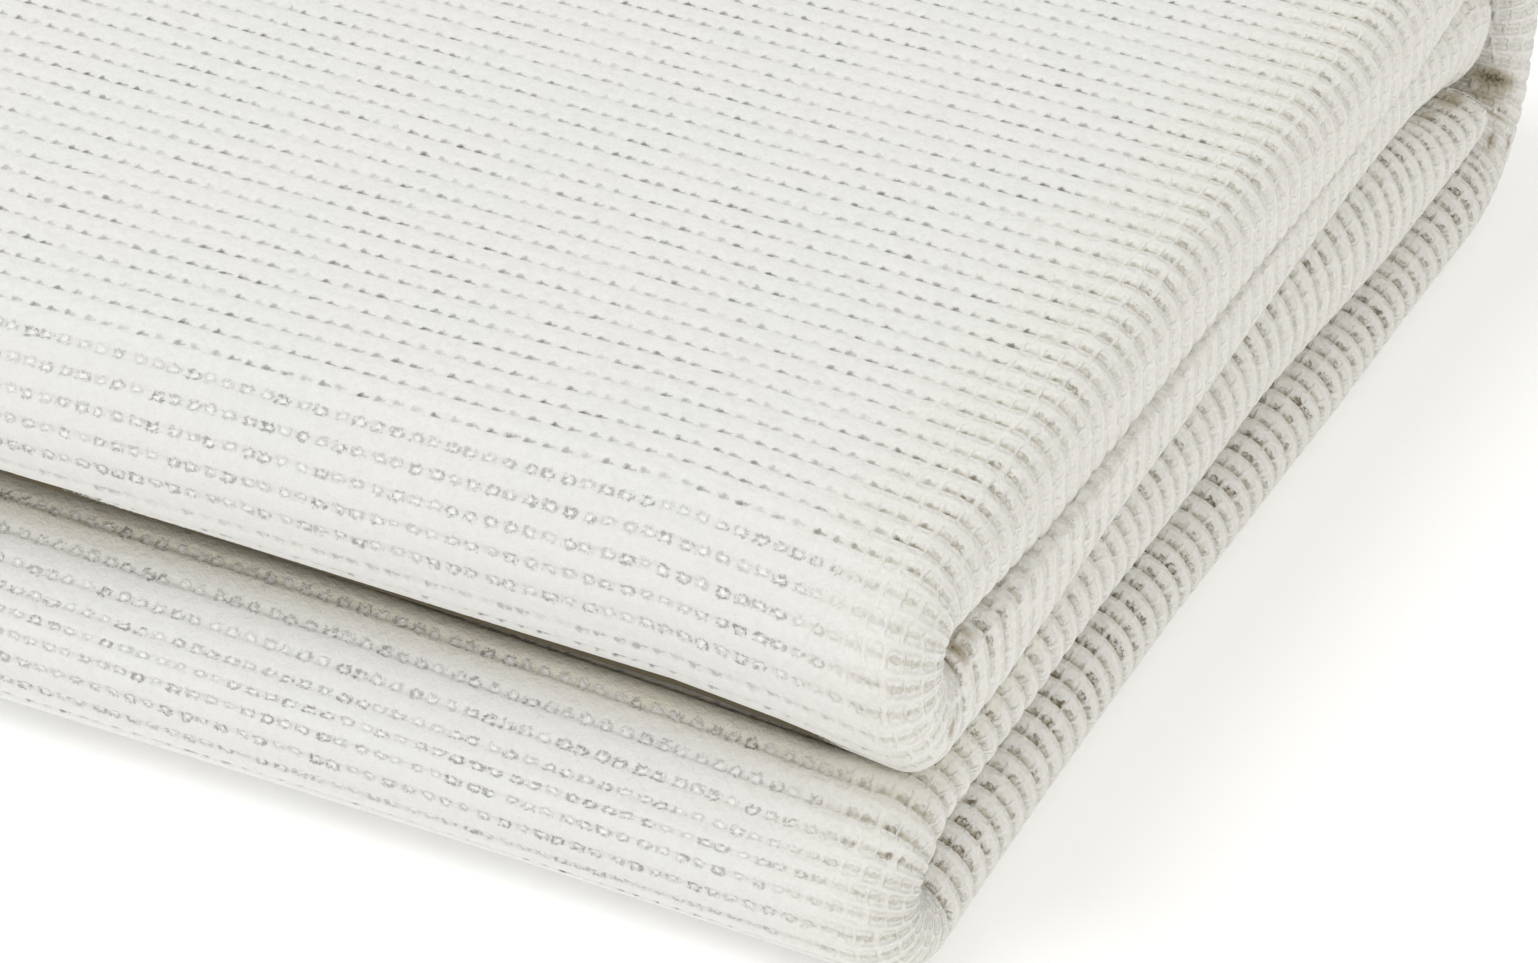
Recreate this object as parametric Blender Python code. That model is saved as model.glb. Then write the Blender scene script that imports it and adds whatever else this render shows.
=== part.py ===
"""Thick cotton blanket, folded into a soft oblong stack.

The cloth is first folded in four across its width, so that its right side is an outer turn
around an inner one. That strip is then folded like a closed book: both of its ends are turned
in at the front, and the whole bends around a spine at the back. Metres, +Z up, X along the
front fold, Y from the front fold to the spine.
"""
import math

import bpy
import numpy as np

# Cloth and stack
CLOTH = 0.0045          # thickness of the napped cloth
AIR = 0.0007            # gap between the layers of the strip
PITCH = CLOTH + AIR     # one layer of the strip and its gap
RUN_STEP = 0.0215       # height from one run of the strip to the next
WIDTH = 0.420           # folded size along the front fold
REAR_LINE = 0.303       # where the straight runs end and the spine begins
UPPER_SET_BACK = 0.015  # how far the upper front fold stands behind the lower one
UPPER_END_PAST = 0.012  # the upper inner end hangs this far past the spine line
UPPER_END_DROP = 0.005  # and this much lower than its run
UPPER_END_LENGTH = 0.014  # over this length
LOWER_END_SHORT = 0.003  # the lower inner end stops this far before the spine line

# Number of flat pieces that each stretch is divided into
LAYER_PARTS = 6
OUTER_TURN_PARTS = 8
INNER_TURN_PARTS = 4
END_PARTS = 3
FRONT_TURN_PARTS = 8
SPINE_PARTS = 12

# Where the four runs are divided, and how near to a turn no division stands
RUN_AT = (0.042, 0.062, 0.085, 0.112, 0.145, 0.185, 0.225, 0.264)
RUN_CLEAR = 0.008

# Rounded cloth edges: how far the last ring lies beyond the one before it, and its thickness
EDGE_REACH = 0.0012
EDGE_SHARE = 0.5

# Reach of the right side along the strip: distance along it as a share, extra metres
REACH_SHARE = (0.00, 0.20, 0.27, 0.46, 0.50, 0.55, 0.60, 0.72, 0.78, 1.00)
REACH_EXTRA = (-0.002, 0.003, 0.000, 0.000, -0.001, 0.003, 0.003, 0.000, 0.001, -0.002)

# Softness of the whole stack
SAG_TOP = 0.0022        # the top is this much lower at its left and right sides
WAVE_TOP = 0.0012       # long low waves over the stack

# Rise of the middle and of the lowest gap on the right side, at shares of the depth: the
# turned edges of the runs are fuller in some places than in others
GAP_SHARE = (0.00, 0.12, 0.22, 0.32, 0.50, 0.65, 0.86, 1.00, 1.12)
MIDDLE_RISE = (-0.0045, -0.0065, -0.0035, 0.0000, 0.0015, 0.0050, 0.0060, 0.0020, 0.0000)
LOWEST_RISE = (-0.0040, 0.0000, 0.0000, 0.0000, -0.0020, -0.0020, -0.0035, -0.0010, 0.0000)

# The two front folds at shares of the width: how far the lower and the upper one come
# forward, and how far the upper one lifts off the lower one
FOLD_SHARE = (0.00, 0.25, 0.52, 0.65, 0.80, 0.88, 1.00)
LOWER_FORWARD = (0.0060, 0.0078, 0.0070, 0.0046, 0.0018, 0.0008, 0.0000)
UPPER_FORWARD = (0.0060, 0.0080, 0.0070, 0.0040, 0.0005, -0.0015, 0.0000)
UPPER_LIFT = (0.0000, 0.0010, 0.0010, 0.0020, 0.0025, 0.0025, 0.0000)

COLOUR = (0.845, 0.835, 0.775, 1.0)
ROUGHNESS = 0.95


def smooth(a, b, v):
    """Soft step from 0 at a to 1 at b."""
    t = np.clip((v - a) / (b - a), 0.0, 1.0)
    return t * t * (3.0 - 2.0 * t)


def curve(at, values, v):
    """Smooth curve through a row of values."""
    at, values = np.asarray(at), np.asarray(values)
    slope = np.gradient(values, at)
    k = np.clip(np.searchsorted(at, v) - 1, 0, len(at) - 2)
    width = at[k + 1] - at[k]
    t = np.clip((v - at[k]) / width, 0.0, 1.0)
    a, b = values[k], values[k + 1]
    bend = slope[k] * width * t * (1 - t) ** 2 - slope[k + 1] * width * t * t * (1 - t)
    return a + (b - a) * t * t * (3.0 - 2.0 * t) + bend


def straight(start, end, parts):
    """Points from start to end without the last one."""
    t = np.arange(parts)[:, None] / parts
    return np.asarray(start) * (1.0 - t) + np.asarray(end) * t


def run(start, end, level):
    """A level run from y start to y end without the last point, divided at RUN_AT."""
    low, high = min(start, end) + RUN_CLEAR, max(start, end) - RUN_CLEAR
    between = sorted((y for y in RUN_AT if low < y < high), reverse=start > end)
    return [(y, level) for y in (start, *between)]


def turn(centre, radius, angle_a, angle_b, parts):
    """Points of an arc without the last one, angles in degrees."""
    a = np.radians(angle_a + (angle_b - angle_a) * np.arange(parts) / parts)
    return np.column_stack((centre[0] + radius * np.cos(a), centre[1] + radius * np.sin(a)))


def normals(line):
    """Unit normals on the left of an open line."""
    d = np.gradient(line, axis=0)
    d[1:-1] = line[2:] - line[:-2]
    d /= np.hypot(d[:, 0], d[:, 1])[:, None]
    return np.column_stack((-d[:, 1], d[:, 0]))


def mitre(line, n):
    """Lengthens the normals at the bends, so that offset sides keep their distance."""
    seg = np.diff(line, axis=0)
    seg /= np.hypot(seg[:, 0], seg[:, 1])[:, None]
    half = np.ones(len(line))
    half[1:-1] = np.sqrt((1.0 + (seg[:-1] * seg[1:]).sum(axis=1)) / 2.0)
    return n / half[:, None]


def layer_line():
    """Middle line of the four layers in (x, height in the strip), from edge to edge."""
    high, low = 1.5 * PITCH, 0.5 * PITCH
    right = WIDTH - high - CLOTH / 2
    left = low + CLOTH / 2
    pieces = (
        straight((CLOTH / 2, high), (right, high), LAYER_PARTS),
        turn((right, 0.0), high, 90, -90, OUTER_TURN_PARTS),
        straight((right, -high), (left, -high), LAYER_PARTS),
        turn((left, -PITCH), low, 270, 90, INNER_TURN_PARTS),
        straight((left, -low), (right, -low), LAYER_PARTS),
        turn((right, 0.0), low, -90, 90, INNER_TURN_PARTS),
        straight((right, low), (CLOTH / 2, low), LAYER_PARTS),
        ((CLOTH / 2, low),),
    )
    return np.vstack(pieces)


def strip_line():
    """Middle line of the strip in (y, z), from one inner end to the other."""
    r = RUN_STEP / 2
    out = r + 1.5 * PITCH + CLOTH / 2
    front_low = out
    front_high = out + UPPER_SET_BACK
    rear = REAR_LINE
    level = [(i + 0.5) * RUN_STEP for i in range(4)]
    inner = rear - LOWER_END_SHORT
    hang = rear + UPPER_END_PAST - UPPER_END_LENGTH
    end = straight((rear + UPPER_END_PAST, level[2]), (hang, level[2]), END_PARTS)
    end[:, 1] -= UPPER_END_DROP * smooth(0.0, 1.0, (end[:, 0] - hang) / UPPER_END_LENGTH)
    pieces = (
        end,
        run(hang, front_high, level[2]),
        turn((front_high, level[2] + r), r, 270, 90, FRONT_TURN_PARTS),
        run(front_high, rear, level[3]),
        turn((rear, 2 * RUN_STEP), 1.5 * RUN_STEP, 90, -90, SPINE_PARTS),
        run(rear, front_low, level[0]),
        turn((front_low, level[0] + r), r, 270, 90, FRONT_TURN_PARTS),
        run(front_low, inner, level[1]),
        ((inner, level[1]),),
    )
    return np.vstack(pieces)


def outline():
    """Closed outline of the cut through the layers: upper side out, lower side back."""
    mid = layer_line()
    n = mitre(mid, normals(mid)) * (CLOTH / 2)
    side_a, side_b = mid + n, mid - n
    first, last = mid[0] - mid[1], mid[-1] - mid[-2]
    tips = []
    for point, along, across in ((mid[-1], last, n[-1]), (mid[0], first, n[0])):
        ahead = point + along / np.hypot(*along) * EDGE_REACH
        tips.append((ahead + across * EDGE_SHARE, ahead - across * EDGE_SHARE))
    end_tip = np.array(tips[0])
    start_tip = np.array(tips[1])[::-1]
    return np.vstack((side_a, end_tip, side_b[::-1], start_tip)), len(mid)


def soften(p):
    """Moves the points of the regular stack into its slightly uneven resting shape."""
    x, y, z = p[:, 0], p[:, 1], p[:, 2]
    height = 4 * RUN_STEP
    up = np.clip(z / height, 0.0, 1.0)
    u = x / WIDTH
    v = y / REAR_LINE
    sag = SAG_TOP * (smooth(0.35, 0.0, u) + smooth(0.80, 1.0, u)) / 2
    wave = WAVE_TOP * (np.sin(5.1 * u + 2.3 * v) + 0.6 * np.sin(8.3 * v - 3.7 * u + 0.8))
    gap = np.interp(up, (0.25, 0.5, 0.75), (0.0, 1.0, 0.0)) * curve(GAP_SHARE, MIDDLE_RISE, v)
    gap += np.interp(up, (0.0, 0.25, 0.5), (0.0, 1.0, 0.0)) * curve(GAP_SHARE, LOWEST_RISE, v)
    z2 = z + up * (wave - sag) + gap * smooth(0.45, 0.95, u)
    front = smooth(0.5, 0.0, v)
    upper = smooth(0.45, 0.55, up)
    low, high, lift = (curve(FOLD_SHARE, row, u)
                       for row in (LOWER_FORWARD, UPPER_FORWARD, UPPER_LIFT))
    y2 = y - front * (low + (high - low) * upper)
    z2 = z2 + smooth(0.4, 0.1, v) * lift * upper
    return np.column_stack((x, y2, z2))


def build_points():
    """All points, one ring of the layer outline at each station along the strip."""
    ring, count = outline()
    line = strip_line()
    n = mitre(line, normals(line))
    step = np.hypot(*np.diff(line, axis=0).T)
    share = np.concatenate(([0.0], np.cumsum(step))) / step.sum()
    reach = np.interp(share, REACH_SHARE, REACH_EXTRA)
    mid = layer_line()
    thin = np.vstack((mid, mid[-1:], mid[-1:], mid[::-1], mid[:1], mid[:1]))
    ends = (line[0] - line[1], line[-1] - line[-2])
    rings = []
    for j in range(-1, len(line) + 1):
        k = min(max(j, 0), len(line) - 1)
        centre, section = line[k], ring
        if j != k:
            along = ends[0] if j < 0 else ends[1]
            centre = centre + along / np.hypot(*along) * EDGE_REACH
            section = thin + (ring - thin) * EDGE_SHARE
        x = section[:, 0] + reach[k] * smooth(0.2, 1.0, section[:, 0] / WIDTH)
        rings.append(np.column_stack((
            x,
            centre[0] + section[:, 1] * n[k][0],
            centre[1] + section[:, 1] * n[k][1],
        )))
    return np.array(rings), count


def build_blanket():
    rings, count = build_points()
    stations, around, _ = rings.shape
    points = soften(rings.reshape(-1, 3))
    low, high = points.min(axis=0), points.max(axis=0)
    points -= ((low[0] + high[0]) / 2, (low[1] + high[1]) / 2, low[2])
    faces = []
    for j in range(stations - 1):
        a, b = j * around, (j + 1) * around
        for k in range(around):
            m = (k + 1) % around
            faces.append((a + k, a + m, b + m, b + k))
    other = [2 * count + 1 - k for k in range(count)]
    pairs = list(zip(range(count), other))
    pairs = [(around - 1, around - 2)] + pairs + [(count, count + 1)]
    for base, flip in ((0, False), ((stations - 1) * around, True)):
        for (a, b), (c, d) in zip(pairs[:-1], pairs[1:]):
            face = (base + a, base + b, base + d, base + c)
            faces.append(face[::-1] if flip else face)
    mesh = bpy.data.meshes.new("blanket")
    mesh.from_pydata([tuple(p) for p in points], [], faces)
    mesh.update()
    return mesh


def material():
    cloth = bpy.data.materials.new("cream_cotton")
    cloth.use_nodes = True
    shader = cloth.node_tree.nodes["Principled BSDF"]
    shader.inputs["Base Color"].default_value = COLOUR
    shader.inputs["Roughness"].default_value = ROUGHNESS
    shader.inputs["Metallic"].default_value = 0.0
    return cloth


def main():
    for item in list(bpy.data.objects):
        bpy.data.objects.remove(item, do_unlink=True)
    mesh = build_blanket()
    mesh.materials.append(material())
    blanket = bpy.data.objects.new("blanket", mesh)
    bpy.context.scene.collection.objects.link(blanket)


main()
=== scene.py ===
"""Folded cotton blanket: ribbed, napped cloth on the folds of its solid, on a pale floor.

The cloth is one closed sheet. Its face side carries puffy ribs across the strip, with a row of
small cells in each groove between them. All sizes are metres, in the frame of the solid.
"""

import math

import bmesh
import bpy
import numpy as np
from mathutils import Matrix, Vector


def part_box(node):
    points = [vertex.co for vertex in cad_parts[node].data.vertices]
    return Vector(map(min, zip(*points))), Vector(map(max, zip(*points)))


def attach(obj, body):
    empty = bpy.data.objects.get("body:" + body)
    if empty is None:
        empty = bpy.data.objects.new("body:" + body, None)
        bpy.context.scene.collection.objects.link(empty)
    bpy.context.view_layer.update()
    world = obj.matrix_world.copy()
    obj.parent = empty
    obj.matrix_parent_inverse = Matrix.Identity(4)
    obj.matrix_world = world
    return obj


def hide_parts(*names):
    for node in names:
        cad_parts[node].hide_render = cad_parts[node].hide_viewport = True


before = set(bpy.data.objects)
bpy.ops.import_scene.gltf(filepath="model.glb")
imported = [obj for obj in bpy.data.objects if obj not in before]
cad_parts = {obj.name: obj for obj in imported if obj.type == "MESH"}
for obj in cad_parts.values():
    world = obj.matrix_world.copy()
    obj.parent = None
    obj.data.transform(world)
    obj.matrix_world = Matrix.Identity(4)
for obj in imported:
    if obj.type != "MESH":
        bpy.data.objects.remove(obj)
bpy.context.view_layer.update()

# The folded stack: the cloth, its runs and ends, and their small uneven lie
CLOTH = 0.0045
AIR = 0.0007
PITCH = CLOTH + AIR
RUN_STEP = 0.0215
WIDTH = 0.420
REAR_LINE = 0.303
UPPER_SET_BACK = 0.015
UPPER_END_PAST = 0.009
UPPER_END_DROP = 0.002
UPPER_END_LENGTH = 0.014
REACH_SHARE = (0.00, 0.20, 0.27, 0.46, 0.50, 0.535, 0.567, 0.60, 0.662, 0.714, 0.755, 0.79,
               0.91, 0.96, 1.00)
REACH_EXTRA = (-0.002, 0.003, 0.000, 0.000, 0.0007, 0.0043, 0.0037, 0.0042, 0.0037, 0.0053,
               0.0074, 0.001, -0.0005, 0.002, 0.0025)
SAG_TOP = 0.0022
WAVE_TOP = 0.0012
GAP_SHARE = (0.00, 0.12, 0.22, 0.32, 0.50, 0.65, 0.86, 1.00, 1.12)
MIDDLE_RISE = (-0.0045, -0.0065, -0.0035, 0.0000, 0.0015, 0.0050, 0.0060, 0.0020, 0.0000)
LOWEST_RISE = (-0.0040, 0.0000, 0.0000, 0.0000, -0.0020, -0.0020, -0.0035, -0.0010, 0.0000)
FOLD_SHARE = (0.00, 0.25, 0.52, 0.65, 0.80, 0.88, 1.00)
LOWER_FORWARD = (0.0060, 0.0078, 0.0070, 0.0046, 0.0018, 0.0008, 0.0000)
UPPER_FORWARD = (0.0060, 0.0080, 0.0070, 0.0040, 0.0005, -0.0015, 0.0000)
UPPER_LIFT = (0.0000, 0.0010, 0.0010, 0.0020, 0.0025, 0.0025, 0.0000)

# Rounded edges of the cloth: how far they stand out, and their two lines' share of the cloth
EDGE_REACH = 0.0012
EDGE_SHARE = 0.25

# The turned edges of the two upper runs: where along the strip they are squared against each
# other and how much, how square they are, and how much closer they lie by the face's lean
PRESS_SHARE = (0.015, 0.05, 0.19, 0.225, 0.240, 0.275, 0.42, 0.455)
PRESS = (0.0, 1.0, 1.0, 0.0, 0.0, 1.0, 1.0, 0.0)
SQUARE_POWER = 10
SQUARE_LEAST = 0.03
LEAN_AT = (0.0, 0.30, 0.68, 0.90, 1.0)
LEAN_CLOSE = (0.0, 0.00015, 0.00118, 0.0009, 0.00066)

# Shares of the strip where the spine begins and ends, and where the lower fold's upper run begins
SPINE_SHARE = (0.4545, 0.534)
SHOULDER_SHARE = 0.77
UNDER_SHARE = 0.79
END_FADE = 0.006

# The weave: ribs a rib pitch apart, cells a cell pitch apart in each groove
RIB = 0.0060
CELL = 0.0040
RIB_ROWS = 8
RIB_PHASE = (0.00, 0.07, 0.14, 0.28, 0.50, 0.72, 0.86, 0.93)
RIB_HEIGHT = (-0.00125, -0.00108, -0.00015, 0.00026, 0.00040, 0.00026, -0.00015, -0.00108)

# How proud the ribs stand and how dark the painted shade in their cells is, as shares.
# by the tilt of the face, in degrees: 90 at the outer face of a run, 0 straight out to the
# side, -90 at the inner face. The first run is the one whose inner end shows at the spine.
FLAT_RIB = 0.30
FRONT_RIB = 0.34
FRONT_END_RIB = 0.20
TILT = (-90, -60, -35, -10, 10, 35, 60, 90)
SECOND_RIB = (0.35, 0.35, 0.32, 0.30, 0.28, 0.28, 0.30, 0.30)
TOP_RIB = (0.30, 0.30, 0.28, 0.24, 0.26, 0.42, 0.55, 0.40)
LOWEST_RIB = (0.95, 0.95, 0.86, 0.74, 0.60, 0.45, 0.35, 0.30)
THIRD_RIB = (0.65, 0.68, 0.72, 0.76, 0.85, 0.98, 1.00, 0.85)
SPINE_RIB = (0.25, 0.28, 0.30, 0.30, 0.28, 0.26, 0.25, 0.20)
SECOND_CELL = (0.30, 0.30, 0.22, 0.18, 0.16, 0.16, 0.20, 0.40)
TOP_CELL = (0.15, 0.15, 0.12, 0.10, 0.14, 0.50, 1.05, 1.00)
LOWEST_CELL = (1.40, 1.75, 1.55, 0.90, 0.45, 0.25, 0.25, 0.30)
THIRD_CELL = (0.25, 0.25, 0.22, 0.30, 0.50, 0.95, 1.60, 1.40)
SPINE_CELL = (0.60, 0.45, 0.30, 0.25, 0.25, 0.30, 0.40, 0.60)
LAYER_AT = (0.00, 0.224, 0.240, 0.450, 0.470, 0.520, 0.545, 0.760, 0.776, 1.00)

# Painted shade in small cavities on the right side: place along the strip as a share, its size,
# the face tilt, its spread, and the depth of the painted shade. The first few are by the upper
# front fold, the others at the spine.
SHADED_CAVITIES = ((0.2141, 0.0012, -55.0, 18.0, 0.85), (0.2175, 0.0012, -55.0, 18.0, 0.88),
            (0.2203, 0.0008, 6.0, 9.0, 0.70), (0.2103, 0.0010, -60.0, 15.0, 0.60),
            (0.9960, 0.0045, 74.0, 20.0, 0.62), (0.9860, 0.0045, 80.0, 12.0, 0.45),
            (0.5070, 0.0050, -66.0, 34.0, 0.50), (0.5062, 0.0016, -58.0, 34.0, 0.42),
            (0.5112, 0.0012, -72.0, 30.0, 0.34), (0.5142, 0.0005, -55.0, 40.0, 0.55),
            (0.5205, 0.0034, -42.0, 6.0, 0.80), (0.5172, 0.0022, -12.0, 5.5, 0.75))
# At the spine the second run hangs down at its side and the third run's end is thinner:
# places along the strip and the share by which the face beside the opening is out
END_AT = (0.0, 0.0071, 0.0118, 0.0205, 0.0276, 0.0331, 0.041, 0.0488, 0.0567,
          0.9620, 0.9740, 0.9800, 0.9866, 1.0)
END_OUT = (0.85, 0.74, 0.67, 0.54, 0.40, 0.28, 0.15, 0.05, 0.0,
           0.0, -0.155, -0.28, -0.445, -0.60)

# The crevice at the front: the lower fold dips behind its crest, the upper one has a low lip
CREVICE_SHARE = (0.00, 0.50, 0.56, 0.62, 0.75, 0.85, 1.00)
CREVICE_AT = (0.0272, 0.0264, 0.0272, 0.0282, 0.0286, 0.0291, 0.0296)
CREVICE_DIP = 0.0006
LIP_AT = 0.0295
LIP_DROP = 0.0016

# The lower fold's top rounds down towards the front: places in y and how much lower it lies
FALL_AT = (0.000, 0.005, 0.010, 0.015, 0.0208, 0.026, 0.0295, 0.036)
FALL = (0.0020, 0.0054, 0.0067, 0.0065, 0.0046, 0.0017, 0.0, 0.0)

# Colours of the cloth, with painted shade colours for its side, rolled front folds, grooves, cell
# pits, front crevice and cavities, and a painted highlight for its knots
CREAMS = ((0.838, 0.838, 0.808, 1.0), (0.866, 0.864, 0.834, 1.0))
BLUSH = (0.880, 0.845, 0.832, 1.0)
SIDE_SHADE_CREAM = (0.815, 0.803, 0.735, 1.0)
PALE_NAP = (0.905, 0.905, 0.890, 1.0)
DIM_STRAND = (0.735, 0.725, 0.665, 1.0)
CREVICE_SHADE_TINT = (0.900, 0.862, 0.690, 1.0)
ROLLED_SHADE_CREAM = (0.765, 0.760, 0.735, 1.0)
GROOVE_SHADES = ((0.770, 0.765, 0.730, 1.0), (0.550, 0.490, 0.355, 1.0))
PIT_SHADES = ((0.165, 0.160, 0.145, 1.0), (0.175, 0.132, 0.068, 1.0))
KNOT_HIGHLIGHT = (0.955, 0.950, 0.930, 1.0)
CAVITY_SHADE_BROWN = (0.370, 0.310, 0.200, 1.0)
DEEP_CREVICE_SHADE = (0.105, 0.082, 0.042, 1.0)

# The floor and the lights: place, size, power and colour
FLOOR_HALF = 6.0
FLOOR_LEVEL = -0.0003
FLOOR_GLOW = 0.21
SKY = (1.0, 0.985, 0.955, 1.0)
SKY_STRENGTH = 0.65
KEY = ((-0.95, -0.70, 2.20), 1.6, 22.0, (0.95, 0.975, 1.0))
FILL = ((2.1, -0.95, 1.10), 1.4, 8.5, (1.0, 0.985, 0.95))
LIGHTS_LOOK_AT = (0.0, 0.0, 0.04)

# Camera fitted to the photograph's weave and folds
CAMERA_PLACE = (0.5551, -0.8688, 0.6858)
CAMERA_TILT = 54.26
CAMERA_TURN = 27.66
CAMERA_LENS = 129.07
SENSOR = 36.0


def smooth(a, b, v):
    t = np.clip((v - a) / (b - a), 0.0, 1.0)
    return t * t * (3.0 - 2.0 * t)


def curve(at, values, v):
    """Smooth curve through a row of values."""
    at, values = np.asarray(at), np.asarray(values)
    slope = np.gradient(values, at)
    k = np.clip(np.searchsorted(at, v) - 1, 0, len(at) - 2)
    width = at[k + 1] - at[k]
    t = np.clip((v - at[k]) / width, 0.0, 1.0)
    a, b = values[k], values[k + 1]
    bend = slope[k] * width * t * (1 - t) ** 2 - slope[k + 1] * width * t * t * (1 - t)
    return a + (b - a) * t * t * (3.0 - 2.0 * t) + bend


def straight(start, end, step=0.0005):
    parts = max(2, int(math.dist(start, end) / step))
    t = np.arange(parts)[:, None] / parts
    return np.asarray(start) * (1.0 - t) + np.asarray(end) * t


def turn(centre, radius, angle_a, angle_b, parts=96):
    a = np.radians(angle_a + (angle_b - angle_a) * np.arange(parts) / parts)
    return np.column_stack((centre[0] + radius * np.cos(a), centre[1] + radius * np.sin(a)))


class Line:
    """A finely divided line that can be asked for a point and a left normal at a length."""

    def __init__(self, points):
        self.points = np.asarray(points)
        step = np.hypot(*np.diff(self.points, axis=0).T)
        self.at = np.concatenate(([0.0], np.cumsum(step)))
        d = np.gradient(self.points, self.at, axis=0)
        d /= np.hypot(d[:, 0], d[:, 1])[:, None]
        self.normal = np.column_stack((-d[:, 1], d[:, 0]))
        self.length = self.at[-1]

    def sample(self, v):
        p = np.column_stack([np.interp(v, self.at, self.points[:, i]) for i in (0, 1)])
        n = np.column_stack([np.interp(v, self.at, self.normal[:, i]) for i in (0, 1)])
        return p, n / np.hypot(n[:, 0], n[:, 1])[:, None]


FRONT_RADIUS, SPINE_RADIUS = 0.5 * RUN_STEP, 1.5 * RUN_STEP
HIGH, LOW = 1.5 * PITCH, 0.5 * PITCH
RIGHT = WIDTH - HIGH - CLOTH / 2
LEFT = LOW + CLOTH / 2


def layer_line():
    return Line(np.vstack((
        straight((CLOTH / 2, HIGH), (RIGHT, HIGH)),
        turn((RIGHT, 0.0), HIGH, 90, -90),
        straight((RIGHT, -HIGH), (LEFT, -HIGH)),
        turn((LEFT, -PITCH), LOW, 270, 90),
        straight((LEFT, -LOW), (RIGHT, -LOW)),
        turn((RIGHT, 0.0), LOW, -90, 90),
        straight((RIGHT, LOW), (CLOTH / 2, LOW)),
        ((CLOTH / 2, LOW),),
    )))


def strip_line():
    r = FRONT_RADIUS
    out = r + HIGH + CLOTH / 2
    front_low, front_high = out, out + UPPER_SET_BACK
    level = [(i + 0.5) * RUN_STEP for i in range(4)]
    hang = REAR_LINE + UPPER_END_PAST - UPPER_END_LENGTH
    end = straight((REAR_LINE + UPPER_END_PAST, level[2]), (hang, level[2]))
    end[:, 1] -= UPPER_END_DROP * smooth(0.0, 1.0, (end[:, 0] - hang) / UPPER_END_LENGTH)
    return Line(np.vstack((
        end,
        straight((hang, level[2]), (front_high, level[2])),
        turn((front_high, level[2] + r), r, 270, 90),
        straight((front_high, level[3]), (REAR_LINE, level[3])),
        turn((REAR_LINE, 2 * RUN_STEP), SPINE_RADIUS, 90, -90),
        straight((REAR_LINE, level[0]), (front_low, level[0])),
        turn((front_low, level[0] + r), r, 270, 90),
        straight((front_low, level[1]), (REAR_LINE, level[1])),
        ((REAR_LINE, level[1]),),
    )))


LAYERS = layer_line()
STRIP = strip_line()


def outer_length():
    """Length along the outer face of the strip at each point of its middle line."""
    outer = STRIP.points + STRIP.normal * (HIGH + CLOTH / 2)
    step = np.hypot(*np.diff(outer, axis=0).T)
    return np.concatenate(([0.0], np.cumsum(step)))


OUTER = outer_length()


def upper_front_turn():
    """Share of the strip's length at the middle of its upper front turn."""
    y, z = STRIP.points.T
    upper = np.argmin(y + 9.0 * (z < 2 * RUN_STEP))
    return STRIP.at[upper] / STRIP.length


UPPER_TURN = upper_front_turn()


def soften(p):
    """The same uneven resting shape as the solid's."""
    x, y, z = p[:, 0], p[:, 1], p[:, 2]
    height = 4 * RUN_STEP
    up = np.clip(z / height, 0.0, 1.0)
    u = x / WIDTH
    v = y / REAR_LINE
    sag = SAG_TOP * (smooth(0.35, 0.0, u) + smooth(0.80, 1.0, u)) / 2
    wave = WAVE_TOP * (np.sin(5.1 * u + 2.3 * v) + 0.6 * np.sin(8.3 * v - 3.7 * u + 0.8))
    gap = np.interp(up, (0.25, 0.5, 0.75), (0.0, 1.0, 0.0)) * curve(GAP_SHARE, MIDDLE_RISE, v)
    gap += np.interp(up, (0.0, 0.25, 0.5), (0.0, 1.0, 0.0)) * curve(GAP_SHARE, LOWEST_RISE, v)
    z2 = z + up * (wave - sag) + gap * smooth(0.45, 0.95, u)
    front = smooth(0.5, 0.0, v)
    upper = smooth(0.45, 0.55, up)
    low, high, lift = (curve(FOLD_SHARE, row, u)
                       for row in (LOWER_FORWARD, UPPER_FORWARD, UPPER_LIFT))
    y2 = y - front * (low + (high - low) * upper)
    z2 = z2 + smooth(0.4, 0.1, v) * lift * upper
    return np.column_stack((x, y2, z2))


def settle(p):
    """Small set of the cloth in its crevices, on top of the solid's own shape."""
    y, z = p[:, 1], p[:, 2]
    crest = np.interp(p[:, 0] / WIDTH, CREVICE_SHARE, CREVICE_AT)
    middle = 2 * RUN_STEP
    below = smooth(0.0, 1.0, z / middle) * (z < middle)
    dip = CREVICE_DIP * smooth(-0.0010, 0.0035, y - crest)
    dip = dip * smooth(0.110, 0.050, y)
    fall = curve(FALL_AT, FALL, y) * np.clip(z / RUN_STEP - 1.0, 0.0, 1.0) * (y < 0.036)
    above = (z >= middle) * smooth(1.35, 1.0, z / middle)
    lip = LIP_DROP * np.exp(-((y - LIP_AT) / 0.0045) ** 2)
    return -(dip * below + lip * above + fall * (z < middle))


def layer_value(share, tilt, rows):
    """A value from the tables above, for one face tilt and a row of shares of the strip."""
    second, top, spine, lowest, third = (np.interp(tilt, TILT, row) for row in rows)
    return np.interp(share, LAYER_AT, (second, second, top, top, spine, spine, lowest, lowest,
                                       third, third))


def press(share, x, n):
    """The turned edges of the two upper runs lie squared against each other."""
    dx, length = x - RIGHT, np.maximum(np.hypot(x - RIGHT, n), 1e-6)
    amount = np.interp(share, PRESS_SHARE, PRESS)
    amount = amount * (dx > 0.0) * (n < 0.0)
    c, q = np.clip(dx / length, 0.0, 1.0), np.clip(-n / length, 0.0, 1.0)
    squared = np.maximum(c ** SQUARE_POWER + q ** SQUARE_POWER, SQUARE_LEAST)
    squared = squared ** (-1 / SQUARE_POWER)
    grow = 1.0 + (squared - 1.0) * amount
    close = np.interp(q, LEAN_AT, LEAN_CLOSE)
    return RIGHT + dx * grow, n * grow - close * amount


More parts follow.
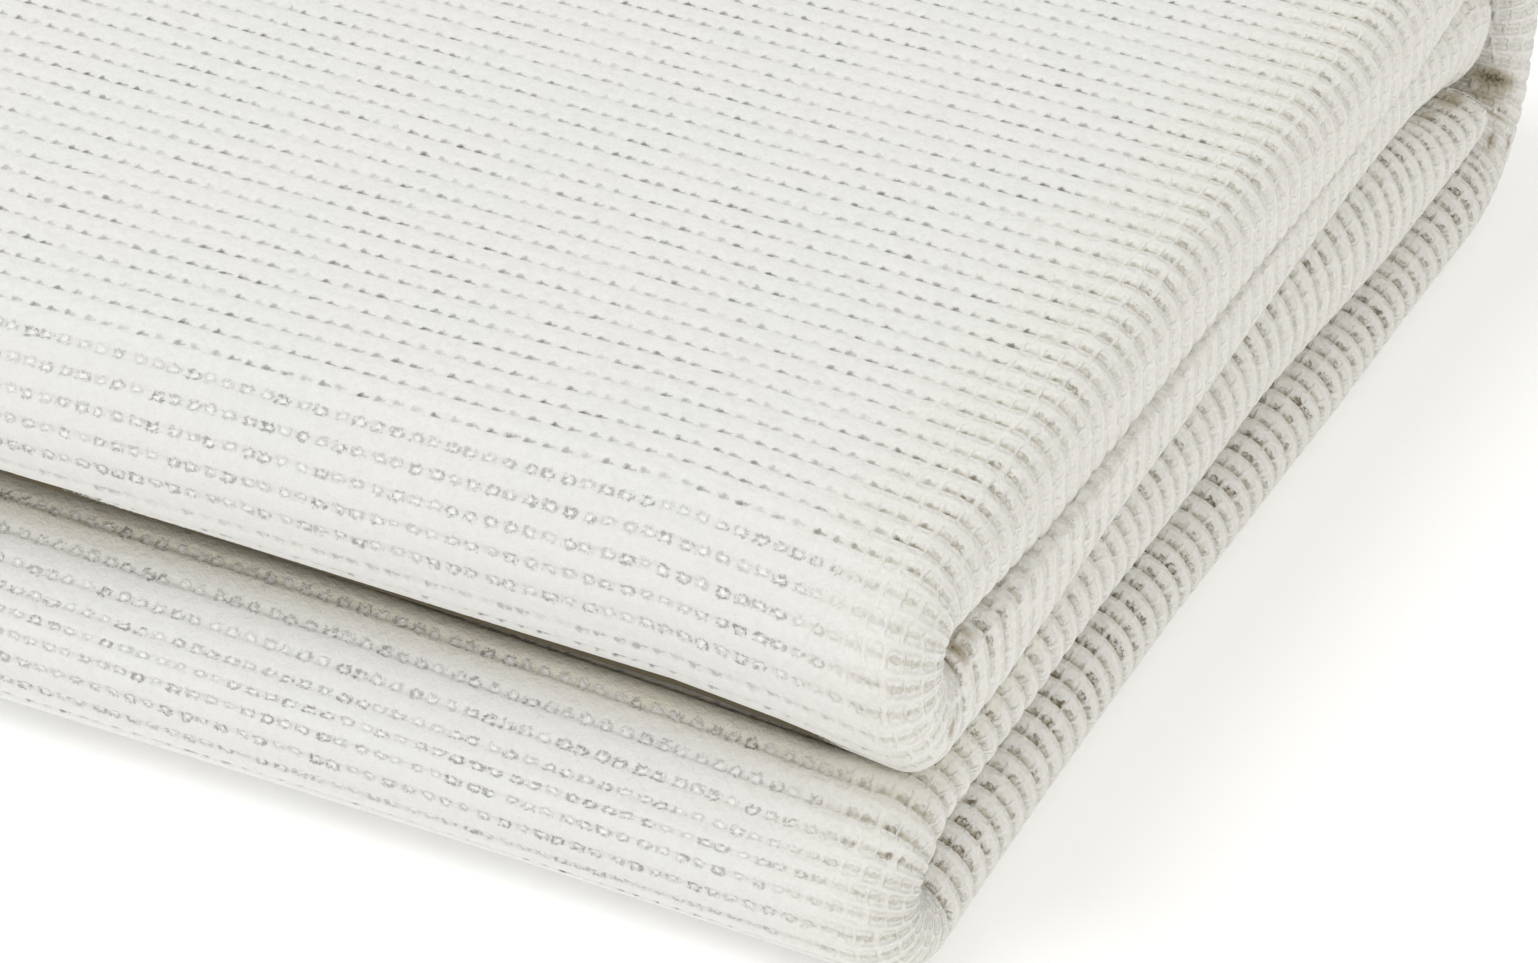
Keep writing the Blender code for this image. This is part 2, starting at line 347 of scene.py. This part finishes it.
def end_shape(share, x, n):
    """The ends of the runs at the spine."""
    out = np.interp(share, END_AT, END_OUT)
    out = out * np.where(share < 0.5, smooth(0.368, 0.408, x), smooth(0.20, 0.36, x))
    return np.where(n > 0.0, n * (1.0 + out), n)


def place(length, x, n):
    """Points at outer lengths along the strip and at (x, n) in its cut, in the part's frame."""
    s = np.interp(length, OUTER, STRIP.at)
    p, normal = STRIP.sample(s)
    n = end_shape(s / STRIP.length, x, n)
    reach = np.interp(s / STRIP.length, REACH_SHARE, REACH_EXTRA)
    x = x + reach * smooth(0.2, 1.0, x / WIDTH)
    points = np.column_stack((x, p[:, 0] + n * normal[:, 0], p[:, 1] + n * normal[:, 1]))
    soft = soften(points)
    soft[:, 2] += settle(points)
    return soft + SHIFT


def side_columns(parts):
    """Columns along the layers: stretches of the middle line with their number of divisions."""
    at = [0.0]
    straight_run = RIGHT - CLOTH / 2
    back_run = RIGHT - LEFT
    lengths = (straight_run, math.pi * HIGH, 0.020, back_run - 0.020, math.pi * LOW, back_run,
               math.pi * LOW, straight_run)
    scale = LAYERS.length / sum(lengths)
    for length, count in zip(lengths, parts):
        start = at[-1]
        at += [start + length * scale * (i + 1) / count for i in range(count)]
    return np.array(at), sum(parts[:3])


def section():
    """The cut through the layers: for each column the outer and the inner face."""
    at, fine = side_columns((18, 20, 2, 5, 6, 6, 4, 6))
    mid, normal = LAYERS.sample(at)
    outer, inner = mid + normal * CLOTH / 2, mid - normal * CLOTH / 2
    return at, mid, normal, outer, inner, fine + 1


def rib_rows():
    """Lengths, heights and rib numbers of the fine rows."""
    total = OUTER[-1]
    ribs = int(total / RIB)
    lengths, heights = [], []
    for rib in range(ribs):
        for phase, height in zip(RIB_PHASE, RIB_HEIGHT):
            lengths.append((rib + phase) * total / ribs)
            heights.append(height)
    lengths.append(total)
    heights.append(RIB_HEIGHT[0])
    return np.array(lengths), np.array(heights), ribs


def uneven(length, w, rng_phase, waves, size):
    """A slow, smooth unevenness over the cloth from a few waves."""
    out = np.zeros(np.broadcast(length, w).shape)
    for i in range(waves):
        a = 2.399 * i + rng_phase
        k = (0.7 + 0.45 * i) / size
        out = out + np.sin(k * (math.cos(a) * w + math.sin(a) * length) + 4.1 * i + rng_phase)
    return out / waves


def cloth_mesh():
    at, mid, normal, outer, inner, fine = section()
    columns = len(at)
    lengths, heights, ribs = rib_rows()
    rows = len(lengths)
    coarse_rows = np.arange(0, rows, RIB_ROWS)

    outer_at = np.concatenate(([0.0], np.cumsum(np.hypot(*np.diff(outer, axis=0).T))))
    inner_at = np.concatenate(([0.0], np.cumsum(np.hypot(*np.diff(inner, axis=0).T))))

    points, marks = [], []
    rib_at = lengths * ribs / lengths[-1]

    def add(p, u, v, side=0.0, deep=0.0, opened=0.0, cells=0.4, near=0.0):
        start = len(points)
        points.extend(p)
        blank = np.zeros(len(p))
        marks.extend(zip(*(blank + mark for mark in (u, v, side, deep, opened, cells, near, 0.0))))
        return np.arange(start, start + len(p))

    strip_s = np.interp(lengths, OUTER, STRIP.at)
    strip_p, strip_n = STRIP.sample(strip_s)
    share = strip_s / STRIP.length
    rise = np.degrees(np.arcsin(np.clip(strip_n[:, 1], -1.0, 1.0)))
    at_front = (strip_n[:, 0] < -0.01) & (strip_p[:, 0] < 0.10)
    rolled = at_front * smooth(76.0, 56.0, rise) * smooth(-30.0, -8.0, rise)
    rolled = np.maximum(rolled, (share > SHOULDER_SHARE) * (rise > 0.0)
                        * smooth(0.0335, 0.0300, strip_p[:, 0]))
    turning = at_front * smooth(82.0, 62.0, abs(rise))
    bent = at_front | ((share > SPINE_SHARE[0]) & (share < SPINE_SHARE[1]))
    radius = np.where((share > 0.40) & (share <= 0.60), SPINE_RADIUS, FRONT_RADIUS)

    def deep_at(x):
        """How deep the face lies in the front crevice, and how near to it, 0 to 1: masks for the
        painted shade there.
        """
        crest = np.interp(x / WIDTH, CREVICE_SHARE, CREVICE_AT)
        past = strip_p[:, 0] - crest
        in_front = smooth(0.412, 0.392, x)
        under = (share < UPPER_TURN - 0.002) | (share > UNDER_SHARE)
        deep = under * smooth(-0.0004, 0.0010, past) * in_front
        near = (share > SHOULDER_SHARE) * smooth(-0.0085, -0.0005, past) * (0.35 + 0.65 * in_front)
        return deep, near * (strip_p[:, 0] < 0.08)

    def cavity_shade_at(tilt):
        """Strength of the painted shade in the few small cavities of the right side, high in them.
        """
        out = 0.0
        for spot, size, lean, spread, depth in SHADED_CAVITIES:
            out = out + depth * (np.exp(-((share - spot) / size) ** 2)
                                 * math.exp(-((tilt - lean) / spread) ** 2))
        return out

    end_fade = np.minimum(smooth(0.0, END_FADE, lengths),
                          smooth(0.0, END_FADE, lengths[-1] - lengths))
    outside = np.full((rows, columns), -1)
    inside = np.full((rows, columns), -1)
    for k in range(columns):
        if k < fine:
            w = outer_at[k]
            at_side = smooth(0.375, 0.418, w) * (1.0 - turning) + smooth(0.399, 0.414, w) * turning
            tilt = math.degrees(math.asin(max(-1.0, min(1.0, normal[k, 1]))))
            swing = (0.0006 + 0.0006 * at_side) * uneven(lengths, w, 0.4, 5, 0.035)
            swing += 0.00030 * uneven(lengths, w, 1.9, 4, 0.011)
            puff = 1.0 + 0.22 * uneven(lengths, w, 2.7, 5, 0.016)
            h = np.where(heights > 0.0, heights * puff, heights * (0.9 + 0.1 * puff)) * end_fade
            own = layer_value(share, tilt, (SECOND_RIB, TOP_RIB, SPINE_RIB, LOWEST_RIB, THIRD_RIB))
            lying = FLAT_RIB + (FRONT_RIB - FLAT_RIB) * rolled
            own = own + (FRONT_END_RIB - own) * turning
            own = lying + (own - lying) * at_side
            room = np.where(bent, np.clip(1.7 * (radius + outer[k, 1]) / (radius + HIGH), 0.0, 1.0),
                            1.0)
            h = h * own * room
            s = lengths + swing * end_fade
            x = outer[k, 0] + h * normal[k, 0]
            n = outer[k, 1] + h * normal[k, 1]
            x, n = press(share, x, n)
            # cells: how dark the painted shade in the cells is, darker by the upper front corner,
            # along part of the upper run and by the spine opening
            cells = layer_value(share, tilt,
                                (SECOND_CELL, TOP_CELL, SPINE_CELL, LOWEST_CELL, THIRD_CELL))
            corner = np.exp(-((share - UPPER_TURN + 0.014) / 0.016) ** 2)
            cells = cells + 0.9 * corner * math.exp(-((tilt + 50.0) / 28.0) ** 2)
            cells = cells + 0.30 * (smooth(0.10, 0.19, share) * smooth(0.226, 0.215, share)
                                    * math.exp(-((tilt + 15.0) / 45.0) ** 2))
            cells = cells + (0.50 - cells) * turning
            cells = cells + 1.1 * (np.exp(-((share - 0.5115) / 0.0024) ** 2)
                                   * math.exp(-((tilt + 50.0) / 30.0) ** 2))
            cells = (1.0 + (cells - 1.0) * at_side) * room
            # deep and near: masks for painted shade in the front crevice and the small cavities
            deep, near = deep_at(x) if normal[k, 1] > 0.5 else (0.0, 0.0)
            deep = np.maximum(deep, cavity_shade_at(tilt))
            opened = rolled * (1.0 - at_side) + 0.6 * at_side * (abs(tilt) < 80.0)
            outside[:, k] = add(place(s, x, n), w / CELL, rib_at, at_side, deep, opened, cells,
                                near)
        else:
            s = lengths[coarse_rows]
            x = np.full(len(s), outer[k, 0])
            n = np.full(len(s), outer[k, 1])
            ids = add(place(s, x, n), outer_at[k] / CELL, rib_at[coarse_rows])
            outside[coarse_rows, k] = ids
        s = lengths[coarse_rows]
        x = np.full(len(s), inner[k, 0])
        n = np.full(len(s), inner[k, 1])
        ids = add(place(s, x, n), inner_at[k] / CELL, rib_at[coarse_rows])
        inside[coarse_rows, k] = ids

    faces = []

    def quads(grid, flip=False):
        a, b = grid[:-1, :-1].ravel(), grid[:-1, 1:].ravel()
        c, d = grid[1:, 1:].ravel(), grid[1:, :-1].ravel()
        stack = np.column_stack((a, d, c, b) if flip else (a, b, c, d))
        faces.extend(stack.tolist())

    def fan(fine_line, coarse_line, flip):
        """Joins a fine line of rows to a coarse one, rib by rib."""
        half = RIB_ROWS // 2
        for r in range(ribs):
            f = fine_line[r * RIB_ROWS:(r + 1) * RIB_ROWS + 1]
            a, b = coarse_line[r], coarse_line[r + 1]
            group = [(f[i], a, f[i + 1]) for i in range(half)]
            group.append((f[half], a, b))
            group += [(f[i], b, f[i + 1]) for i in range(half, RIB_ROWS)]
            faces.extend([t[::-1] if flip else t for t in group])

    quads(outside[:, :fine])
    fan(outside[:, fine - 1], outside[coarse_rows, fine], False)
    quads(outside[coarse_rows][:, fine:])
    quads(inside[coarse_rows], flip=True)

    def tip_line(k, row_ids):
        """One rounded edge of the cloth: a pair of lines beyond column k."""
        along = mid[0] - mid[1] if k == 0 else mid[-1] - mid[-2]
        along = along / np.hypot(*along) * EDGE_REACH
        s = lengths[row_ids]
        out = []
        for side in (EDGE_SHARE, -EDGE_SHARE):
            p = mid[k] + along + normal[k] * CLOTH * side
            out.append(add(place(s, np.full(len(s), p[0]), np.full(len(s), p[1])),
                           -0.4, rib_at[row_ids]))
        return out

    near_out, near_in = tip_line(0, coarse_rows)
    far_out, far_in = tip_line(columns - 1, coarse_rows)
    fan(outside[:, 0], near_out, True)
    quads(np.column_stack((inside[coarse_rows, 0], near_in, near_out)), flip=False)
    quads(np.column_stack((outside[coarse_rows, -1], far_out, far_in, inside[coarse_rows, -1])))

    # The two inner ends, each rounded by one line beyond the last row
    for row, reach, flip in ((0, -EDGE_REACH, False), (rows - 1, EDGE_REACH, True)):
        s_end = lengths[row]
        s_in = np.interp(s_end, OUTER, STRIP.at)
        p, n_dir = STRIP.sample(np.array([s_in]))
        along = np.array((n_dir[0, 1], -n_dir[0, 0])) * reach
        reach_x = np.interp(s_in / STRIP.length, REACH_SHARE, REACH_EXTRA)

        def cap_line(cut):
            x = cut[:, 0] + reach_x * smooth(0.2, 1.0, cut[:, 0] / WIDTH)
            off = end_shape(s_in / STRIP.length, cut[:, 0], cut[:, 1])
            pts = np.column_stack((x, p[0, 0] + along[0] + off * n_dir[0, 0],
                                   p[0, 1] + along[1] + off * n_dir[0, 1]))
            soft = soften(pts)
            soft[:, 2] += settle(pts)
            return add(soft + SHIFT, at / CELL, rib_at[row] + 0.3)

        a = cap_line(mid + normal * CLOTH * EDGE_SHARE)
        b = cap_line(mid - normal * CLOTH * EDGE_SHARE)
        tip = 0 if row == 0 else -1
        ring = np.vstack((outside[row], a, b, inside[row]))
        quads(ring, flip=flip)
        near = [outside[row, 0], a[0], b[0], inside[row, 0], near_in[tip], near_out[tip]]
        far = [outside[row, -1], a[-1], b[-1], inside[row, -1], far_in[tip], far_out[tip]]
        faces.append(near[::-1] if not flip else near)
        faces.append(far if not flip else far[::-1])

    points = np.array(points)
    points[:, 2] = np.maximum(points[:, 2], 0.0)
    mesh = bpy.data.meshes.new("blanket_cloth")
    mesh.from_pydata(points.tolist(), [], [tuple(f) for f in faces])
    mesh.update()
    marks = np.array(marks)
    index = np.empty(len(mesh.loops), dtype=np.int64)
    mesh.loops.foreach_get("vertex_index", index)
    for name, pair in (("weave", marks[:, :2]), ("zone", marks[:, 2:4]),
                       ("lie", marks[:, 4:6]), ("crevice_shade_tint", marks[:, 6:])):
        layer = mesh.uv_layers.new(name=name)
        layer.data.foreach_set("uv", pair[index].astype(np.float32).ravel())
    mesh.polygons.foreach_set("use_smooth", np.ones(len(mesh.polygons), dtype=bool))
    return mesh


def centre_shift():
    """The solid is centred by the box of its points, so the cloth is moved onto it: by the
    middle from front to back, and by its left side and its underside."""
    low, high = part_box("blanket")
    at, _, _, outer, inner, _ = section()
    s = np.linspace(0.0, OUTER[-1], 2000)
    ring = []
    for k in range(len(at)):
        for p in (outer[k], inner[k]):
            ring.append(place(s, np.full(len(s), p[0]), np.full(len(s), p[1])))
    ring = np.vstack(ring)
    own_low, own_high = ring.min(axis=0), ring.max(axis=0)
    shift = np.array(low) - own_low
    shift[1] = (low[1] + high[1]) / 2 - (own_low[1] + own_high[1]) / 2
    return shift


SHIFT = np.zeros(3)
SHIFT = centre_shift()


class Nodes:
    """Short calls for the node trees of the materials."""

    def __init__(self, material):
        material.use_nodes = True
        self.tree = material.node_tree
        self.shader = self.tree.nodes["Principled BSDF"]

    def new(self, kind, **values):
        node = self.tree.nodes.new(kind)
        for key, value in values.items():
            setattr(node, key, value)
        return node

    def put(self, value, socket):
        if isinstance(value, bpy.types.NodeSocket):
            self.tree.links.new(value, socket)
        else:
            socket.default_value = value

    def math(self, operation, *values, clamp=False):
        node = self.new("ShaderNodeMath", operation=operation, use_clamp=clamp)
        for value, socket in zip(values, node.inputs):
            self.put(value, socket)
        return node.outputs[0]

    def step(self, value, start, end, low=0.0, high=1.0):
        node = self.new("ShaderNodeMapRange", interpolation_type="SMOOTHSTEP")
        for item, socket in zip((value, start, end, low, high), node.inputs):
            self.put(item, socket)
        return node.outputs[0]

    def mix(self, share, a, b, blend="MIX"):
        node = self.new("ShaderNodeMix", data_type="RGBA", blend_type=blend)
        self.put(share, node.inputs[0])
        self.put(a, node.inputs[6])
        self.put(b, node.inputs[7])
        return node.outputs[2]

    def noise(self, where, scale, detail=2.0, roughness=0.5):
        node = self.new("ShaderNodeTexNoise")
        self.put(where, node.inputs["Vector"])
        node.inputs["Scale"].default_value = scale
        node.inputs["Detail"].default_value = detail
        node.inputs["Roughness"].default_value = roughness
        return node.outputs[0]

    def pair(self, name):
        """The two numbers that a UV map carries."""
        node = self.new("ShaderNodeSeparateXYZ")
        self.put(self.new("ShaderNodeUVMap", uv_map=name).outputs[0], node.inputs[0])
        return node.outputs[0], node.outputs[1]

    def blend(self, share, a, b):
        """a where share is 0, b where it is 1."""
        part = self.math("MULTIPLY", b, share)
        return self.math("ADD", self.math("MULTIPLY", a, self.math("SUBTRACT", 1.0, share)), part)

    def length2(self, a, b):
        return self.math("SQRT", self.math("ADD", self.math("MULTIPLY", a, a),
                                           self.math("MULTIPLY", b, b)))

    def vector(self, x, y, z=0.0):
        node = self.new("ShaderNodeCombineXYZ")
        for value, socket in zip((x, y, z), node.inputs):
            self.put(value, socket)
        return node.outputs[0]


def cotton_material():
    cloth = bpy.data.materials.new("cream_cotton_weave")
    n = Nodes(cloth)
    place_at = n.new("ShaderNodeTexCoord").outputs["Object"]
    u, v = n.pair("weave")
    side, deep = n.pair("zone")
    opened, cells = n.pair("lie")
    near = n.pair("crevice_shade_tint")[0]

    # Where in its groove and in its cell a point lies, in millimetres
    row = n.math("ROUND", v)
    off = n.math("SUBTRACT", v, row)
    row_rand = n.new("ShaderNodeTexWhiteNoise", noise_dimensions="1D")
    n.put(row, row_rand.inputs["W"])
    u_row = n.math("ADD", u, row_rand.outputs[0])
    cell_rand = n.new("ShaderNodeTexWhiteNoise", noise_dimensions="2D")
    n.put(n.vector(n.math("FLOOR", u_row), row), cell_rand.inputs["Vector"])
    tint = n.new("ShaderNodeSeparateXYZ")
    n.put(cell_rand.outputs["Color"], tint.inputs[0])
    r1, r2, r3 = tint.outputs
    wobble = n.new("ShaderNodeTexNoise")
    n.put(place_at, wobble.inputs["Vector"])
    wobble.inputs["Scale"].default_value = 560.0
    wobble.inputs["Detail"].default_value = 2.0
    drift = n.new("ShaderNodeSeparateXYZ")
    n.put(wobble.outputs["Color"], drift.inputs[0])
    across = n.math("MULTIPLY", n.math("SUBTRACT", n.math("FRACT", u_row), 0.5), CELL * 1000)
    across = n.math("ADD", across, n.math("MULTIPLY", n.math("SUBTRACT", r2, 0.5), 0.9))
    across = n.math("ADD", across,
                    n.math("MULTIPLY", n.math("SUBTRACT", drift.outputs[0], 0.5), 1.5))
    along = n.math("MULTIPLY", off, RIB * 1000)
    along = n.math("ADD", along, n.math("MULTIPLY", n.math("SUBTRACT", r3, 0.5), 0.35))
    along = n.math("ADD", along, n.math("MULTIPLY", n.math("SUBTRACT", drift.outputs[1], 0.5), 1.3))
    fuzz = n.noise(place_at, 1300.0, 3.0, 0.65)
    ragged = n.math("MULTIPLY", n.math("SUBTRACT", fuzz, 0.5), 1.2)

    # Closed cells on the flat runs: a small spot of painted shade with a thin faint tail
    spot = n.length2(n.math("DIVIDE", n.math("ADD", across, 0.40), 0.84),
                     n.math("DIVIDE", along, 0.68))
    tail_tall = n.math("ADD", along, n.math("MULTIPLY", across, n.math("MULTIPLY",
                       n.math("SUBTRACT", r1, 0.5), 0.30)))
    tail = n.length2(n.math("DIVIDE", n.math("SUBTRACT", across, 0.40),
                            n.math("ADD", 0.80, n.math("MULTIPLY", r3, 0.60))),
                     n.math("DIVIDE", tail_tall, 0.36))
    shut = n.math("MAXIMUM", n.step(n.math("ADD", spot, ragged), 0.30, 1.30, 1.0, 0.0),
                  n.step(n.math("ADD", tail, ragged), 0.40, 1.30, 0.60, 0.0))

    # Open cells on the rolled folds: a broken square ring of painted shade round a knot with a
    # painted highlight
    wide = n.math("ABSOLUTE", n.math("DIVIDE", across, n.math("ADD", 1.15,
                  n.math("MULTIPLY", r1, 0.25))))
    tall = n.math("ABSOLUTE", n.math("DIVIDE", along, 0.92))
    away = n.math("POWER", n.math("ADD", n.math("POWER", wide, 3.0), n.math("POWER", tall, 3.0)),
                  0.3333)
    away = n.math("ADD", away, n.math("MULTIPLY", ragged, 1.1))
    hole = n.step(away, 0.80, 1.50, 1.0, 0.0)
    knot = n.step(away, 0.30, 0.98, 1.0, 0.0)
    ring = n.math("MULTIPLY", hole, n.math("SUBTRACT", 1.0, n.math("MULTIPLY", knot, 0.95)))
    breaks = n.step(n.noise(place_at, 1050.0, 3.0, 0.65), 0.45, 0.58)
    ring = n.math("MULTIPLY", ring, n.math("ADD", 0.06, n.math("MULTIPLY", breaks, 1.30)))

    # depth: how much painted shade fills a cell; the bump below also sinks by it
    shape = n.blend(opened, shut, ring)
    depth = n.math("MULTIPLY", shape, n.math("ADD", 0.28, n.math("MULTIPLY", r3, 0.74)))
    depth = n.math("MULTIPLY", depth, n.step(n.noise(place_at, 55.0, 2.0), 0.36, 0.62, 0.65, 1.0))
    depth = n.math("MULTIPLY", depth, n.blend(opened, 1.0, n.blend(side, 0.66, 1.0)))
    depth = n.math("MULTIPLY", depth, cells, clamp=True)
    groove = n.step(n.math("ABSOLUTE", off), 0.02, n.blend(side, 0.22, 0.15), 1.0, 0.0)
    bridge = n.step(n.math("ABSOLUTE", across), 1.10, 1.90, 1.0, 0.30)

    # Colour: pale cream; painted shade makes it warmer and darker at the side, tints it warm by the
    # crevice and dims it on the rolled front folds, where the cells open
    patchy = n.noise(place_at, 16.0, 3.0, 0.55)
    strands = n.noise(place_at, 420.0, 4.0, 0.65)
    cream = n.mix(patchy, *CREAMS)
    blush = n.step(n.noise(place_at, 30.0, 4.0, 0.6), 0.42, 0.66)
    cream = n.mix(n.math("MULTIPLY", blush, 0.55), cream, BLUSH)
    # painted shade: a warmer, darker cream on the right side
    cream = n.mix(n.math("MULTIPLY", side, 0.75), cream, SIDE_SHADE_CREAM)
    mottle = n.step(n.noise(place_at, 900.0, 3.0, 0.6), 0.36, 0.64)
    cream = n.mix(n.math("MULTIPLY", mottle, 0.55), cream, PALE_NAP)
    cream = n.mix(n.math("MULTIPLY", n.step(strands, 0.38, 0.78), 0.38), cream,
                  DIM_STRAND)
    # painted shade tint: a warm olive cream near the front crevice, kept light
    cream = n.mix(n.math("MULTIPLY", near, n.math("ADD", 0.15, n.math("MULTIPLY", strands, 0.9))),
                  cream, CREVICE_SHADE_TINT)
    # painted shade: a dimmer cream on the rolled front folds, less of it by the crevice
    cream = n.mix(n.math("MULTIPLY", opened, n.math("MULTIPLY", n.math("SUBTRACT", 1.0, near),
                                                    0.35)),
                  cream, ROLLED_SHADE_CREAM)
    # painted shade in the grooves, browner on the right side
    groove_shade_colour = n.mix(side, *GROOVE_SHADES)
    side_groove_shade = n.math("MULTIPLY", n.math("MULTIPLY", cells, 0.50), bridge)
    groove_shade_share = n.math("MULTIPLY", groove, n.blend(side, 0.12, side_groove_shade))
    colour = n.mix(n.math("MINIMUM", groove_shade_share, 0.85), cream, groove_shade_colour)
    # painted shade in the cell pits, browner on the right side
    pit_shade = n.mix(side, *PIT_SHADES)
    colour = n.mix(n.math("MULTIPLY", depth, 0.90), colour, pit_shade)
    # painted highlight on the knots of the open cells
    knot_highlight = n.math("MULTIPLY", n.math("MULTIPLY", n.math("MULTIPLY", knot, hole), opened), 0.85)
    colour = n.mix(n.math("MULTIPLY", knot_highlight, n.math("SUBTRACT", 1.0, side)), colour,
                   KNOT_HIGHLIGHT)
    # painted brown shade on the right side, in its small cavities and crevice ends
    shade_edge_noise = n.math("SUBTRACT", fuzz, 0.5)
    brown_shade = n.step(n.math("ADD", deep, n.math("MULTIPLY", shade_edge_noise, 0.35)), 0.06, 0.60)
    brown_shade = n.math("MULTIPLY", n.math("MULTIPLY", brown_shade, side), 0.80)
    colour = n.mix(brown_shade, colour, CAVITY_SHADE_BROWN)
    # painted dark shade deep in the front crevice and the small cavities of the right side
    dark = n.math("ADD", deep, n.math("MULTIPLY", shade_edge_noise, 0.9))
    inside = n.math("MULTIPLY", n.step(dark, n.blend(side, 0.30, 0.52), n.blend(side, 0.62, 1.0)),
                    0.98)
    colour = n.mix(inside, colour, DEEP_CREVICE_SHADE)
    n.put(colour, n.shader.inputs["Base Color"])

    # Relief: soft lumps and nap on the ribs, small pits in the cells, knots in the open ones
    nap = n.noise(place_at, 1500.0, 3.0, 0.6)
    tufts = n.noise(place_at, 430.0, 3.0, 0.55)
    height = n.math("ADD", n.math("MULTIPLY", nap, 0.36),
                    n.math("MULTIPLY", tufts, n.math("ADD", 0.85, n.math("MULTIPLY", side, 0.5))))
    height = n.math("SUBTRACT", height, n.math("MULTIPLY", depth, 0.55))
    beside = n.math("MULTIPLY", n.step(n.math("ABSOLUTE", off), 0.20, 0.47, 1.0, 0.0), side)
    height = n.math("SUBTRACT", height, n.math("MULTIPLY", n.math("MULTIPLY", bridge, beside), 0.9))
    lump = n.math("MULTIPLY", n.math("MULTIPLY", knot, hole), n.math("MULTIPLY", opened, 0.45))
    height = n.math("ADD", height, lump)
    bump = n.new("ShaderNodeBump")
    bump.inputs["Strength"].default_value = 0.75
    bump.inputs["Distance"].default_value = 0.0008
    n.put(height, bump.inputs["Height"])
    n.put(bump.outputs[0], n.shader.inputs["Normal"])
    rough = n.math("SUBTRACT", 0.96, n.math("MULTIPLY", strands, 0.10))
    n.put(rough, n.shader.inputs["Roughness"])
    n.shader.inputs["Metallic"].default_value = 0.0
    n.shader.inputs["Specular IOR Level"].default_value = 0.10
    n.shader.inputs["Sheen Weight"].default_value = 0.05
    n.shader.inputs["Sheen Roughness"].default_value = 0.45
    return cloth


def floor_material():
    paper = bpy.data.materials.new("pale_floor")
    n = Nodes(paper)
    place_at = n.new("ShaderNodeTexCoord").outputs["Object"]
    grain = n.noise(place_at, 220.0, 3.0)
    n.put(n.mix(grain, (0.93, 0.93, 0.93, 1.0), (0.95, 0.95, 0.95, 1.0)),
          n.shader.inputs["Base Color"])
    n.put(n.math("ADD", 0.75, n.math("MULTIPLY", grain, 0.1)), n.shader.inputs["Roughness"])
    n.shader.inputs["Specular IOR Level"].default_value = 0.1
    n.shader.inputs["Emission Color"].default_value = (1.0, 1.0, 1.0, 1.0)
    n.shader.inputs["Emission Strength"].default_value = FLOOR_GLOW
    return paper


def tidy_normals(mesh):
    shape = bmesh.new()
    shape.from_mesh(mesh)
    bmesh.ops.recalc_face_normals(shape, faces=shape.faces)
    shape.to_mesh(mesh)
    shape.free()


def add_floor():
    mesh = bpy.data.meshes.new("floor")
    corners = ((-1, -1), (1, -1), (1, 1), (-1, 1))
    mesh.from_pydata([(x * FLOOR_HALF, y * FLOOR_HALF, FLOOR_LEVEL) for x, y in corners], [],
                     [(0, 1, 2, 3)])
    mesh.materials.append(floor_material())
    floor = bpy.data.objects.new("floor", mesh)
    bpy.context.scene.collection.objects.link(floor)
    return floor


def add_light(name, place_at, size, power, colour):
    light = bpy.data.lights.new(name, "AREA")
    light.shape = "DISK"
    light.size = size
    light.energy = power
    light.color = colour
    lamp = bpy.data.objects.new(name, light)
    lamp.location = place_at
    look = np.array(LIGHTS_LOOK_AT) - np.array(place_at)
    lamp.rotation_euler = Vector(look).to_track_quat("-Z", "Y").to_euler()
    bpy.context.scene.collection.objects.link(lamp)


def add_studio():
    scene = bpy.context.scene
    world = bpy.data.worlds.new("studio")
    world.use_nodes = True
    back = world.node_tree.nodes["Background"]
    back.inputs[0].default_value = SKY
    back.inputs[1].default_value = SKY_STRENGTH
    scene.world = world
    scene.view_settings.view_transform = "Standard"
    add_light("key", *KEY)
    add_light("fill", *FILL)

    camera = bpy.data.cameras.new("camera")
    camera.lens = CAMERA_LENS
    camera.sensor_width = SENSOR
    holder = bpy.data.objects.new("camera", camera)
    holder.location = CAMERA_PLACE
    holder.rotation_euler = (math.radians(CAMERA_TILT), 0.0, math.radians(CAMERA_TURN))
    scene.collection.objects.link(holder)
    scene.camera = holder


floor = add_floor()
mesh = cloth_mesh()
tidy_normals(mesh)
mesh.materials.append(cotton_material())
cloth = bpy.data.objects.new("blanket_cloth", mesh)
bpy.context.scene.collection.objects.link(cloth)
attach(cloth, "root")
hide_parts("blanket")
add_studio()
